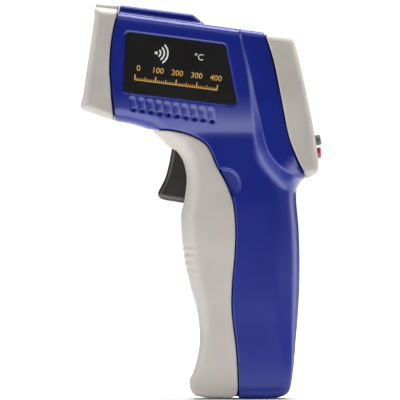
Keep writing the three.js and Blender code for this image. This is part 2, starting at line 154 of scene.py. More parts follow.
# a box of sample points round a piece: x, y and z are arrays that broadcast, and side is their x-z plane
class Block:
    def __init__(self, low, high, step):
        self.low, self.step = low, step
        axes = [np.arange(a, b + step, step) for a, b in zip(low, high)]
        self.x = axes[0][:, None, None]
        self.y = axes[1][None, :, None]
        self.z = axes[2][None, None, :]
        self.side = (self.x, self.z)
        self.width = np.abs(self.y)

    def mesh(self, field, name):
        full = np.broadcast_to(field, (self.x.size, self.y.size, self.z.size))
        vertices, quads = surfaceOf(np.ascontiguousarray(full), self.low, self.step)
        mesh = bpy.data.meshes.new(name)
        mesh.from_pydata((vertices * mm).tolist(), [], quads.tolist())
        mesh.polygons.foreach_set("use_smooth", np.ones(len(quads), bool))
        mesh.update()
        return addObject(name, mesh)


def rod(block, x, z, radius):
    return np.hypot(block.x - x, block.z - z) - radius


def slabBetween(value, start, end):
    return np.maximum(start - value, value - end)


# the piece takes the place of a CAD node, on its body and with its material slot
def standFor(piece, node, material, body=housingBody):
    piece.data.materials.clear()
    piece.data.materials.append(material)
    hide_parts(node)
    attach(piece, body)
    return piece


slotOf = {part["node"]: part["material_slot"] for part in frame["record"]["subparts"]}


# The whole body, blue and grey: one side outline and one half width
body = {
    "barrel half width": 18.8,
    "head half width": 20.5,
    "handle half width": 16,
    "handle rounding": 2.6,
    "wall": 2,
    "top edge radius": 2.6,
    "barrel bottom radius": 6,
    "grip edge radius": 6.5,
    "handle edge radius": 12,
    "foot edge radius": 3,
    "seam gap": 0.45,
    "tongue": 1.3,
    "seam edge radius": 0.35,
}
bodyOutline = (
    [(-40, 159.4), (36, 148.9), (52, 140), (52, 92), (43.4, 91.3)]
    + smooth([(42.9, 90.6), (41, 88.9), (39.6, 86.3), (39.2, 83.5), (39.4, 79), (40.2, 70), (40.6, 56),
              (40.3, 40), (38.9, 21.5), (37.9, 11), (36.8, 4.6), (35.1, 1.9), (31.6, 0.5), (27, 0.05)])
    + [(13, 0.05)]
    + smooth([(5.3, 0.3), (0, 0.8), (-2.8, 1.6), (-4.3, 3.7), (-4.9, 6.3), (-4.4, 8.4), (-2.8, 11.6),
              (-0.9, 20),
              (-0.7, 28.4), (-2.1, 38), (-4.2, 45.6), (-6.1, 54), (-7.5, 63.3), (-8.1, 70), (-8.1, 76),
              (-7, 80.6), (-6.2, 86), (-5.9, 90.6), (-6.7, 95.4), (-8.3, 99.3), (-10.4, 101.9),
              (-13.2, 103.3),
              (-15.6, 105.7), (-17.9, 107.9), (-20.7, 110.2), (-25.5, 111.9), (-30.3, 113.1), (-36, 114),
              (-40, 114.6)])
)
creaseLine = smooth([(16, 152), (18.1, 143.4), (20.5, 134.4), (22.2, 125.6), (23.9, 117), (25.5, 108.6),
                     (27.2, 102.6), (29.8, 98.2), (33.8, 94.2), (39, 91.2), (45, 89.6)])
noseSeam = smooth([(-32.8, 164), (-34.6, 156.9), (-36, 151), (-37, 143.5), (-37.4, 135.6), (-37, 128.5),
                   (-36.4, 120.6), (-35.3, 113.5), (-34.6, 109)])
bezelSeam = smooth([(25, 153), (28.3, 143.2), (30, 137.2), (31.4, 130.2), (32.9, 122.8), (34.4, 114.6),
                    (35.4, 109.6),
                    (37, 104.3), (39.6, 98.1), (43.2, 91), (46, 85)])
doorSeam = smooth([(-20.7, 110.3), (-14, 110.4), (-8.1, 109.4), (-3.7, 108), (0.2, 106), (2.6, 103.9),
                   (4.4, 100.7),
                   (5.8, 97.2), (7.3, 94.1), (9.3, 90.5), (11.2, 86.6), (12.8, 82.2), (13.7, 77.9),
                   (14.3, 70),
                   (14, 59.4), (13, 47.5), (12.7, 38), (13.4, 30), (14.4, 22), (15, 14), (15.3, 7),
                   (15.3, -1)])
hinge = {"x": 12.3, "z": 3.2, "pin radius": 1, "knuckle radius": 2.6, "knuckle half width": 8.7,
         "clearance": 0.3,
         "lug radius": 2.2, "lug length": 5.5, "lug heights": (1, 5.4), "lug sides": (9, 12.4)}
pocket = {"floor": 9, "back": 19.8, "top": 77}

doorRegion = [(-60, -5), (-60, 110.3)] + doorSeam + [(15.3, -5)]
noseRegion = [(-70, 170)] + noseSeam + [(-70, 105)]
bezelRegion = [(70, 170)] + bezelSeam + [(70, 80)]
headRegion = [(70, 170)] + creaseLine + [(70, 85)]
cavityRegion = ([(-70, 175), (70, 175), (70, -10), (pocket["back"] + 1.8, -10), (pocket["back"] + 1.8, 73)]
                + smooth([(20.7, 77), (15.4, 84.6), (11.2, 92), (9, 96.4), (6.4, 102.6), (2.6, 107.2),
                          (-3.2, 110.3), (-14, 112.6)])
                + [(-26, 114), (-70, 112)])
pocketRegion = [(-30, pocket["floor"]), (pocket["back"], pocket["floor"]), (pocket["back"], pocket["top"]),
                (-30, pocket["top"])]

label = {
    "corners": [(-31.2, 150.9), (10.2, 145.5), (15.2, 120), (-32.4, 125.5)],
    "film corners": [(-30.8, 150.4), (9.8, 145.1), (14.7, 120.5), (-31.9, 125.9)],
    "corner radius": 1.9,
    "recess": 0.4,
}
flutes = {"count": 10, "first": (-28.3, 124.4), "last": (3.8, 119.6), "length": 6.2, "lean": 0.9,
          "half width": 1.35, "depth": 0.6, "pit radius": 0.8, "pit depth": 1.5}
scoop = {"x": 9.7, "z": 88.1, "radius": 6.6, "lip": 0.15, "slopes": (0.15, 0.11), "depth": 1.6}


# an outline whose corners are rounded inwards
def softOutline(grid, points, radius):
    middle = np.mean(points, axis=0)
    shrunk = []
    count = len(points)
    for i, point in enumerate(points):
        before, after = np.array(points[i - 1]), np.array(points[(i + 1) % count])
        a = (before - point) / np.linalg.norm(before - point)
        b = (after - point) / np.linalg.norm(after - point)
        inward = a + b
        sine = np.linalg.norm(inward) / 2
        halfAngle = math.acos(min(1, sine))
        shrunk.append(tuple(np.array(point) + inward / np.linalg.norm(inward)
                            * radius / math.sin(halfAngle)))
    return outlineDistance(grid, shrunk) - radius


# how much each flute sinks into the barrel side
def fluteDepth(x, z):
    depth = 0
    (fx, fz), (lx, lz) = flutes["first"], flutes["last"]
    for i in range(flutes["count"]):
        share = i / (flutes["count"] - 1)
        top = (fx + (lx - fx) * share, fz + (lz - fz) * share)
        down = (top[1] - z) / flutes["length"]
        across = (x - top[0] - flutes["lean"] * down) / flutes["half width"]
        hollow = np.sqrt(np.clip(1 - across ** 2, 0, 1))
        run = ramp(down, -0.05, 0.3) * (1 - ramp(down, 0.9, 1.05))
        pit = np.hypot(across * flutes["half width"],
                       (down - 0.93) * flutes["length"]) / flutes["pit radius"]
        depth = np.maximum(depth, flutes["depth"] * hollow * run)
        depth = np.maximum(depth, flutes["pit depth"] * np.sqrt(np.clip(1 - pit ** 2, 0, 1)))
    return depth


# where the half width and the edge radius change: heights and places along the barrel, from end to end
change = {
    "handle narrowing": 1.2,
    "narrowing heights": (80, 109),
    "barrel swelling heights": (109, 126),
    "swelling softness": 0.015,
    "foot flare": 1,
    "foot flare heights": (34, 0),
    "rounding heights": (112, 96),
    "rounding behind": (14, 25),
    "rounding in front": (6, 14),
    "crease blend": (1, 2, 4.5),
    "crease blend heights": ((150, 32), (118, 97)),
    "head narrowing": 1.1,
    "head narrowing heights": (118, 150),
    "head taper": 0.7,
    "head taper length": 12,
    "crown": {"height": 151.5, "slope": 0.125, "from": -31, "reach": 8, "fall": 0.02},
    "crease step": 0.3,
    "crease sharpening heights": (119, 104),
    "barrel bottom heights": (142, 122),
    "grip heights": (112, 98),
    "grip to handle": (6, 22),
    "foot heights": (48, 2),
}


def portion(value, start, length):
    return np.clip((value - start) / length, 0, 1)


# half width of the body over the side view, without the small details
def halfWidth(grid):
    x, z = grid
    barrel = body["barrel half width"]
    low, high = change["narrowing heights"]
    handle = body["handle half width"] - change["handle narrowing"] * portion(z, low, high - low)
    low, high = change["barrel swelling heights"]
    up = (z - low) / (high - low)
    up = np.minimum((up + np.sqrt(up ** 2 + change["swelling softness"])) / 2, 1)
    main = handle + (barrel - handle) * (1 - (1 - up) ** 2)
    main = main + change["foot flare"] * ramp(z, *change["foot flare heights"])
    front, depth = change["rounding in front"]
    rounding = body["handle rounding"] * (portion(x, *change["rounding behind"]) ** 2
                                          + portion(-x, -front, depth) ** 2)
    main = main - rounding * ramp(z, *change["rounding heights"])
    crown = change["crown"]
    above = np.clip(z - crown["height"] + crown["slope"] * (x - crown["from"]), 0, crown["reach"])
    main = main - crown["fall"] * above ** 2
    behind = -outlineDistance(grid, headRegion)
    least, upper, lower = change["crease blend"]
    (top, depth), lowerHeights = change["crease blend heights"]
    blend = least + upper * portion(-z, -top, depth) + lower * ramp(z, *lowerHeights)
    head = body["head half width"] - change["head narrowing"] * ramp(z, *change["head narrowing heights"])
    head = head - change["head taper"] * portion(behind, 0, change["head taper length"])
    crease = change["crease step"]
    rise = (1 - crease) * np.clip(behind / blend + 1, 0, 1) + crease * ramp(behind, -blend, 0.2)
    rise = rise ** (1 + ramp(z, *change["crease sharpening heights"]))
    return main + (head - main) * rise


def edgeRadius(x, z):
    top, bottom, foot = body["top edge radius"], body["barrel bottom radius"], body["foot edge radius"]
    grip, handle = body["grip edge radius"], body["handle edge radius"]
    handle = grip + (handle - grip) * ramp(x, *change["grip to handle"])
    return (top + (bottom - top) * ramp(z, *change["barrel bottom heights"])
            + (handle - bottom) * ramp(z, *change["grip heights"])
            + (foot - handle) * ramp(z, *change["foot heights"]))


rail = {"outline": [(-44, 163.4), (-32.5, 161.7), (-3.5, 158), (1.2, 154.2), (2.5, 148), (-44, 148)],
        "half width": 7.5, "edge radius": 1.3, "foot radius": 0.7}


def outerField(block, sideDistance, width):
    field = roundMax(sideDistance, block.width - width, edgeRadius(block.x, block.z))
    spine = roundMax(outlineDistance(block.side, rail["outline"]), block.width - rail["half width"],
                     rail["edge radius"])
    return roundMin(field, spine, rail["foot radius"])


def innerField(block, sideDistance, width):
    wall = body["wall"]
    return roundMax(sideDistance + wall, block.width - width + wall,
                    np.maximum(edgeRadius(block.x, block.z) - wall - 2, 1.2))


# One blue half of the housing: side is -1 for the left and 1 for the right
screws = {"places": [(-18, 152.6), (14, 147.2), (-31.3, 117.6), (30, 84), (32, 12)], "boss radius": 3.2,
          "hole radius": 1.4, "head radius": 2.6, "head floor": 8, "blind depth": 8}
boardPosts = {"places": [(-9.5, 121.5), (11, 138)], "radius": 2.4, "sides": (2.1, 17.5)}
triggerHinge = {"x": -7.4, "z": 104.8, "ear radius": 2, "ear sides": (7.2, 9.2), "ear top": 111.5,
                "hole radius": 1.3}
# thin tongues behind the seams: the region each one reaches into, how far, and the lowest height it has
tongues = ((doorRegion, 1.4, 6.2), (noseRegion, 0.9, 0), (bezelRegion, 1.4, 0))


def housingHalf(name, side, step):
    block = Block((-38.5, -0.6, -0.8), (44.5, 21.6, 162.4), step)
    x, y, z = block.x, block.y, block.z
    edge, gap = body["seam edge radius"], body["seam gap"] / 2
    sideDistance = outlineDistance(block.side, bodyOutline)
    width = halfWidth(block.side)
    detail = width - fluteDepth(x, z)
    detail = detail - label["recess"] * ramp(-softOutline(block.side, label["corners"],
                                                          label["corner radius"]), -0.5, 0.1)
    fromScoop = scoop["radius"] - np.hypot(x - scoop["x"], z - scoop["z"])
    scooped = (scoop["lip"] + scoop["slopes"][0] * (scoop["x"] + scoop["radius"] - x)
               + scoop["slopes"][1] * (scoop["z"] + scoop["radius"] - z))
    detail = detail - np.minimum(scooped, scoop["depth"]) * ramp(fromScoop, 0, 0.7)
    field = outerField(block, sideDistance, detail)
    cavity = innerField(block, sideDistance, width)
    field = np.maximum(field, -np.maximum(cavity, outlineDistance(block.side, cavityRegion)))
    field = np.maximum(field, -np.maximum(cavity, outlineDistance(block.side, pocketRegion)))
    behindSeams = []
    for region, reach, bottom in tongues:
        beyond = outlineDistance(block.side, region)
        field = roundMax(field, gap - beyond, edge)
        tongue = slabBetween(cavity, -body["tongue"], 0.5 * ramp(beyond, 0.2, 0.7) - 0.2)
        behindSeams.append(np.maximum(np.maximum(tongue, slabBetween(beyond, -reach, 2)), bottom - z))
    for tongue in behindSeams:
        field = np.minimum(field, tongue)
    for px, pz in screws["places"]:
        field = np.minimum(field, np.maximum(rod(block, px, pz, screws["boss radius"]), cavity - 1))
    if side < 0:
        for px, pz in boardPosts["places"]:
            post = np.maximum(rod(block, px, pz, boardPosts["radius"]),
                              slabBetween(y, *boardPosts["sides"]))
            field = np.minimum(field, post)
    lug = np.minimum(rod(block, hinge["x"], hinge["z"], hinge["lug radius"]),
                     np.maximum(slabBetween(x, hinge["x"], hinge["x"] + hinge["lug length"]),
                                slabBetween(z, *hinge["lug heights"])))
    field = np.minimum(field, np.maximum(lug, slabBetween(y, *hinge["lug sides"])))
    ear = np.minimum(rod(block, triggerHinge["x"], triggerHinge["z"], triggerHinge["ear radius"]),
                     np.maximum(np.abs(x - triggerHinge["x"]) - triggerHinge["ear radius"],
                                slabBetween(z, triggerHinge["z"], triggerHinge["ear top"])))
    field = np.minimum(field, np.maximum(ear, slabBetween(y, *triggerHinge["ear sides"])))
    for px, pz in screws["places"]:
        if side > 0:
            field = np.maximum(field, -rod(block, px, pz, screws["hole radius"]))
            counterbore = np.maximum(rod(block, px, pz, screws["head radius"]), screws["head floor"] - y)
            field = roundMax(field, -counterbore, 0.3)
        else:
            blind = np.maximum(rod(block, px, pz, screws["hole radius"]), y - screws["blind depth"])
            field = np.maximum(field, -blind)
    pin = rod(block, hinge["x"], hinge["z"], hinge["pin radius"] + hinge["clearance"])
    field = np.maximum(field, -np.maximum(pin, y - 13))
    field = roundMax(field, gap - y, 0.3)
    piece = block.mesh(field, name)
    if side < 0:
        for vertex in piece.data.vertices:
            vertex.co.y = -vertex.co.y
        piece.data.flip_normals()
    return piece


# Nose cap: a rounded box with a bore, open at the front
nose = {
    "outline": [(-43.5, 160.5), (-49.4, 119.8)]
    + smooth([(-49, 118.9), (-48, 118.3), (-45.6, 117.5), (-43.3, 116.7), (-38.2, 114.9), (-35.4, 114)])
    + [(-28, 111.8), (-28, 158.9)],
    "spine": [(-43.4, 162.55), (-28, 161.3), (-28, 150), (-42, 150)],
    "bore": [(-62, 160.8), (-62, 126.6), (-49.1, 122), (-35.4, 116.9), (-24, 114.4), (-24, 156)],
    "half width": 20,
    "spine half width": 8,
    "edge radius": 3.4,
    "seam edge radius": 0.7,
    "wall": 2.4,
    "spine edge radius": 1.2,
    "spine foot radius": 0.8,
    "bore corner": 2.4,
    "bore edge radius": 0.7,
}


def noseCap(name, step):
    block = Block((-51, -21, 111), (-31.5, 21, 164), step)
    wide = block.width - nose["half width"]
    field = roundMax(outlineDistance(block.side, nose["outline"]), wide, nose["edge radius"])
    spine = roundMax(outlineDistance(block.side, nose["spine"]), block.width - nose["spine half width"],
                     nose["spine edge radius"])
    field = roundMin(field, spine, nose["spine foot radius"])
    bore = roundMax(outlineDistance(block.side, nose["bore"]), wide + nose["wall"], nose["bore corner"])
    field = roundMax(field, -bore, nose["bore edge radius"])
    seam = outlineDistance(block.side, noseRegion) + body["seam gap"] / 2
    field = roundMax(field, seam, nose["seam edge radius"])
    return block.mesh(field, name)


# Rear face: a frame of its own, with out along the face's normal and up along the face
rear = {"x": 43.3, "z": 125.5, "pitch": -11.5}


def onFace(x, z, face):
    angle = math.radians(face["pitch"])
    dx, dz = x - face["x"], z - face["z"]
    return dx * math.cos(angle) - dz * math.sin(angle), dx * math.sin(angle) + dz * math.cos(angle)


def fromFace(out, up, face):
    angle = math.radians(face["pitch"])
    return (face["x"] + out * math.cos(angle) + up * math.sin(angle),
            face["z"] - out * math.sin(angle) + up * math.cos(angle))


def roundedBox(a, b, halfA, halfB, radius):
    qa, qb = np.abs(a) - halfA + radius, np.abs(b) - halfB + radius
    outside = np.hypot(np.maximum(qa, 0), np.maximum(qb, 0))
    return outside + np.minimum(np.maximum(qa, qb), 0) - radius


bezel = {
    "outline": [(18, 151)] + smooth([(33, 149.3), (35.2, 148.9), (37, 147.9), (38.2, 146.4), (39, 143.9)])
    + smooth([(40.1, 139.8), (43.3, 125.4), (45.5, 114.5), (47.2, 104.7), (48.15, 98)])
    + smooth([(48.25, 95.4), (47.8, 93.2), (46.3, 91.8), (43.4, 90.4)]) + [(38, 88), (18, 96)],
    "half width": 21.5,
    "edge radius": 3.6,
    "wall": 2.2,
    "narrowing": 0.5,
    "inner corner": 1.6,
    "window": {"rise": 5, "half wide": 14.3, "half tall": 10.3, "corner": 1.5, "depth": 7,
               "dish depth": 1.4, "dish rim": 1.7, "dish edge radius": 0.5},
    "key holes": {"gap": 0.35, "depth": 5},
    "hole edge radius": 0.25,
}
keys = {
    "button_left": {"side": -8.2, "rise": -19.8, "half wide": 4.7, "half tall": 2.1, "top": 2.05},
    "button_right": {"side": 8.2, "rise": -19.8, "half wide": 4.7, "half tall": 2.1, "top": 2.05},
    "button_laser": {"side": 0, "rise": -25, "half wide": 5.5, "half tall": 2.2, "top": 1.2, "slope": 0.16},
}


def displayBezel(name, step):
    block = Block((24, -22.4, 88), (50, 22.4, 151.5), step)
    out, up = onFace(block.x, block.z, rear)
    outside = outlineDistance(block.side, bezel["outline"])
    width = bezel["half width"] - bezel["narrowing"] * ramp(out, -8, 0)
    field = roundMax(outside, block.width - width, bezel["edge radius"])
    window = bezel["window"]
    glass = roundedBox(block.y, up - window["rise"], window["half wide"], window["half tall"],
                       window["corner"])
    dish = np.maximum(glass - window["dish rim"], -window["dish depth"] - out)
    field = roundMax(field, -dish, window["dish edge radius"])
    wall = bezel["wall"]
    inside = roundMax(outside + wall, block.width - bezel["half width"] + wall, bezel["inner corner"])
    field = np.maximum(field, -inside)
    field = roundMax(field, -np.maximum(glass, -window["depth"] - out), bezel["hole edge radius"])
    holes = bezel["key holes"]
    for key in keys.values():
        wide, tall = key["half wide"] + holes["gap"], key["half tall"] + holes["gap"]
        hole = roundedBox(block.y - key["side"], up - key["rise"], wide, tall, tall)
        field = roundMax(field, -np.maximum(hole, -holes["depth"] - out), bezel["hole edge radius"])
    seam = outlineDistance(block.side, bezelRegion) + body["seam gap"] / 2
    field = roundMax(field, seam, body["seam edge radius"])
    return block.mesh(field, name)


# what the three keys share; depths are along the face's normal
keyShape = {"dish": 0.25, "edge radius": 0.55, "foot": -3.8, "flange": (-4.8, -3.6),
            "flange wide": 0.8, "flange tall": 0.3}


def keyCap(name, key, step):
    middle = fromFace(0, key["rise"], rear)
    block = Block((middle[0] - 7.5, key["side"] - key["half wide"] - 1.6, middle[1] - 5.5),
                  (middle[0] + 4.5, key["side"] + key["half wide"] + 1.6, middle[1] + 5.5), step)
    out, up = onFace(block.x, block.z, rear)
    side = block.y - key["side"]
    stem = roundedBox(side, up - key["rise"], key["half wide"], key["half tall"], key["half tall"])
    crown = keyShape["dish"] * (side / key["half wide"]) ** 2 - key.get("slope", 0) * (up - key["rise"])
    field = roundMax(stem, slabBetween(out + crown, keyShape["foot"], key["top"]), keyShape["edge radius"])
    flange = roundedBox(side, up - key["rise"], key["half wide"] + keyShape["flange wide"],
                        key["half tall"] + keyShape["flange tall"], 1)
    flange = np.maximum(flange, slabBetween(out, *keyShape["flange"]))
    return block.mesh(np.minimum(field, flange), name)


# Grey grip: the battery door, open behind, with a slot for the trigger
grip = {"proud": 0.2, "seam edge radius": 0.8, "slot half width": 7.1, "slot bottom": 79, "slot top": 104.9,
        "rib depth": 0.16, "rib pitch": 3.1, "rib range": (47, 66), "rib fade": 4,
        "ear half width": 9.6, "ear heights": (102, 112), "ear places": (-9.8, 4)}


def batteryDoor(name, step):
    block = Block((-22.4, -17.6, -0.8), (16.8, 17.6, 112), step)
    x, z = block.x, block.z
    low, high = grip["rib range"]
    fade = grip["rib fade"]
    ribs = grip["rib depth"] * np.sin(2 * math.pi * z / grip["rib pitch"])
    ribs = ribs * ramp(z, low, low + fade) * ramp(z, high, high - fade)
    sideDistance = outlineDistance(block.side, bodyOutline)
    width = halfWidth(block.side)
    edge = edgeRadius(x, z)
    field = roundMax(sideDistance + ribs, block.width - width - grip["proud"], edge)
    field = np.maximum(field, -innerField(block, sideDistance, width))
    region = outlineDistance(block.side, doorRegion) + body["seam gap"] / 2
    field = roundMax(field, region, grip["seam edge radius"])
    aroundPin = np.hypot(x - hinge["x"], z - hinge["z"])
    field = np.maximum(field, -np.maximum(np.maximum(hinge["x"] - x, z - hinge["z"]),
                                          hinge["knuckle radius"] - aroundPin))
    knuckle = np.maximum(aroundPin - hinge["knuckle radius"], block.width - hinge["knuckle half width"])
    field = np.minimum(field, knuckle)
    lugSpace = np.minimum(aroundPin - 2.8, np.maximum(slabBetween(x, hinge["x"], 30), z - hinge["z"] - 3))
    lugSpace = np.minimum(lugSpace, np.maximum(slabBetween(x, hinge["x"] - 3.6, 30), z - hinge["z"]))
    lugSides = slabBetween(block.width, hinge["knuckle half width"],
                           hinge["lug sides"][1] + hinge["clearance"])
    field = np.maximum(field, -np.maximum(lugSpace, lugSides))
    slot = np.maximum(block.width - grip["slot half width"],
                      np.maximum(slabBetween(z, grip["slot bottom"], grip["slot top"]), x - 4))
    field = roundMax(field, -slot, 0.5)
    ears = np.maximum(block.width - grip["ear half width"], slabBetween(z, *grip["ear heights"]))
    field = np.maximum(field, -np.maximum(slabBetween(x, *grip["ear places"]), ears))
    pin = aroundPin - hinge["pin radius"] - hinge["clearance"]
    field = np.maximum(field, -np.maximum(pin, block.width - 13.4))
    return block.mesh(field, name)


trigger = {
    "outline": [(-11.8, 104.1)]
    + smooth([(-12.4, 100.4), (-13.3, 95.8), (-14.6, 91), (-16.4, 87.2), (-17.4, 85.3), (-17.7, 84),
              (-17.3, 82.8), (-16.2, 81.9)])
    + [(-14, 81.35), (-7.3, 80.3), (-4.2, 80.3), (-3.9, 82.2), (-3.5, 88.6), (-2.7, 91), (-2.45, 98),
       (-5.2, 106), (-8.5, 107.4)],
    "half width": 6.4,
    "edge radius": 2.4,
}


def triggerBody(name, step):
    block = Block((-19, -7.4, 79), (-1, 7.4, 109), step)
    field = roundMax(outlineDistance(block.side, trigger["outline"]), block.width - trigger["half width"],
                     trigger["edge radius"])
    pinHole = rod(block, triggerHinge["x"], triggerHinge["z"], triggerHinge["hole radius"])
    field = np.maximum(field, -pinHole)
    return block.mesh(field, name)


# Materials

# a shader socket that can be added, scaled and mixed like a number
class Wire:
    def __init__(self, paint, socket):
        self.paint, self.socket = paint, socket

    def maths(self, operation, first, second):
        return self.paint.node("ShaderNodeMath", {"operation": operation}, {0: first, 1: second})

    def __add__(self, other):
        return self.maths("ADD", self, other)

    def __sub__(self, other):
        return self.maths("SUBTRACT", self, other)

    def __mul__(self, other):
        return self.maths("MULTIPLY", self, other)

    __radd__ = __add__
    __rmul__ = __mul__

    def between(self, low, high, start=0, end=1):
        return self.paint.node("ShaderNodeMapRange", {"clamp": True},
                               {"Value": self, "From Min": low, "From Max": high, "To Min": start,
                                "To Max": end})


# the nodes of a material, or of the world
class Paint:
    def __init__(self, name, isWorld=False):
        self.owner = (bpy.data.worlds if isWorld else bpy.data.materials).new(name)
        self.owner.use_nodes = True
        self.tree = self.owner.node_tree
        self.tree.nodes.clear()
        if not isWorld:
            coordinates = self.node("ShaderNodeTexCoord", {}, {}, "Object")
            self.place = self.node("ShaderNodeVectorMath", {"operation": "SCALE"},
                                   {0: coordinates, "Scale": 1000})

    # adds a node, sets it, joins or fills its sockets, and gives back one output
    def node(self, kind, settings, sockets, output=0):
        made = self.tree.nodes.new(kind)
        for key, value in settings.items():
            setattr(made, key, value)
        for key, value in sockets.items():
            if isinstance(value, Wire):
                self.tree.links.new(value.socket, made.inputs[key])
            else:
                made.inputs[key].default_value = value
        return None if output is None else Wire(self, made.outputs[output])

    # noise whose size is given in millimetres
    def noise(self, size, detail=2, rough=0.5, place=None):
        return self.node("ShaderNodeTexNoise", {}, {"Vector": place or self.place, "Scale": 1 / size,
                                                    "Detail": detail, "Roughness": rough}, "Fac")

    def stretched(self, factors):
        return self.node("ShaderNodeVectorMath", {"operation": "MULTIPLY"}, {0: self.place, 1: factors})

    def mix(self, share, first, second):
        return self.node("ShaderNodeMix", {"data_type": "RGBA"}, {"Factor": share, 6: first, 7: second}, 2)

    def bump(self, height, depth, normal=None):
        sockets = {"Height": height, "Strength": 1, "Distance": depth * mm}
        if normal:
            sockets["Normal"] = normal
        return self.node("ShaderNodeBump", {}, sockets)

    # pointed edges of the mesh, where hands polish it
    def edges(self, low, high):
        return self.node("ShaderNodeNewGeometry", {}, {}, "Pointiness").between(low, high)

    def finish(self, sockets):
        surface = self.node("ShaderNodeBsdfPrincipled", {}, sockets)
        self.node("ShaderNodeOutputMaterial", {}, {"Surface": surface}, None)
        return self.owner


def tint(colour, factor):
    return tuple(min(1, part * factor) for part in colour) + (1,)


# moulded plastic: fine spark texture, faint flow patches, edges polished by handling
def moulded(name, colour, rough=0.4, grainSize=0.35, grainDepth=0.02, wear=0.35, coat=0.0, specular=0.5):
    paint = Paint(name)
    patches = paint.noise(18, 3)
    grain = paint.noise(grainSize, 3, 0.6)
    polished = paint.edges(0.54, 0.66)
    base = paint.mix(patches.between(0.35, 0.65), tint(colour, 0.94), tint(colour, 1.05))
    base = paint.mix(polished * wear, base, tint(colour, 1.6))
    roughness = patches * 0.08 + (rough - 0.04) + grain * 0.05 - polished * 0.08
    return paint.finish({"Base Color": base, "Roughness": roughness,
                         "Normal": paint.bump(grain, grainDepth),
                         "Coat Weight": coat, "Coat Roughness": 0.25, "Specular IOR Level": specular})


# bare or plated metal with fine directional scratches
def metal(name, colour, rough=0.28, stretch=(0.2, 4, 4)):
    paint = Paint(name)
    scratches = paint.noise(0.4, 4, 0.65, paint.stretched(stretch))
    stains = paint.noise(6, 3)
    base = paint.mix(stains.between(0.4, 0.7), colour + (1,), tint(colour, 0.8))
    roughness = scratches * 0.18 + rough + stains * 0.06
    return paint.finish({"Base Color": base, "Metallic": 1, "Roughness": roughness,
                         "Normal": paint.bump(scratches, 0.006)})


# soft black or coloured rubber, foam and wire cover
def rubber(name, colour, rough=0.75, size=0.3, depth=0.03):
    paint = Paint(name)
    pores = paint.noise(size, 4, 0.7)
    dust = paint.noise(9, 4)
    base = paint.mix(dust.between(0.45, 0.75) * 0.35, colour + (1,), tint(colour, 1.7))
    return paint.finish({"Base Color": base, "Roughness": pores * 0.12 + rough,
                         "Normal": paint.bump(pores, depth)})


def clear(name, colour, rough, transmission):
    paint = Paint(name)
    smears = paint.noise(7, 4, 0.6)
    base = paint.mix(smears.between(0.4, 0.7) * 0.2, colour + (1,), tint(colour, 0.9))
    return paint.finish({"Base Color": base, "Roughness": smears.between(0.4, 0.8, rough, rough + 0.08),
                         "Transmission Weight": transmission, "IOR": 1.49,
                         "Normal": paint.bump(smears, 0.002)})


# green solder mask with tracks and pads
def circuitBoard(name):
    paint = Paint(name)
    cells = paint.node("ShaderNodeTexVoronoi", {"distance": "MANHATTAN", "feature": "DISTANCE_TO_EDGE"},
                       {"Vector": paint.place, "Scale": 0.45}, "Distance")
    tracks = cells.between(0.03, 0.06, 1, 0)
    cloth = paint.noise(0.5, 2)
    base = paint.mix(tracks, (0.008, 0.11, 0.035, 1), (0.02, 0.2, 0.07, 1))
    base = paint.mix(cloth * 0.3, base, (0.03, 0.14, 0.05, 1))
    return paint.finish({"Base Color": base, "Roughness": cloth * 0.1 + 0.32,
                         "Normal": paint.bump(tracks, 0.03)})


# printed film: a thin gloss coat over an even ink, with fine scuffs
def film(name, colour, rough=0.3):
    paint = Paint(name)
    scuffs = paint.noise(1.2, 5, 0.7, paint.stretched((0.4, 1, 2.2)))
    haze = paint.noise(12, 3)
    base = paint.mix(scuffs.between(0.62, 0.75) * 0.25, colour + (1,), tint(colour, 1.8))
    return paint.finish({"Base Color": base, "Roughness": haze * 0.1 + rough + scuffs.between(0.55, 0.8)
                         * 0.12,
                         "Normal": paint.bump(scuffs, 0.004)})


# steel battery case with a coloured band round its middle
def batteryCase(name):
    paint = Paint(name)
    height = paint.node("ShaderNodeSeparateXYZ", {}, {"Vector": paint.place}, "Z")
    band = height.between(24, 24.4) * height.between(52, 52.4, 1, 0)
    rubs = paint.noise(3, 4, 0.6)
    base = paint.mix(band, (0.03, 0.034, 0.045, 1), (0.5, 0.3, 0.05, 1))
    base = paint.mix(rubs.between(0.6, 0.8) * 0.4, base, (0.3, 0.3, 0.31, 1))
    return paint.finish({"Base Color": base, "Metallic": 0.6, "Roughness": rubs * 0.2 + 0.28,
                         "Normal": paint.bump(rubs, 0.01)})


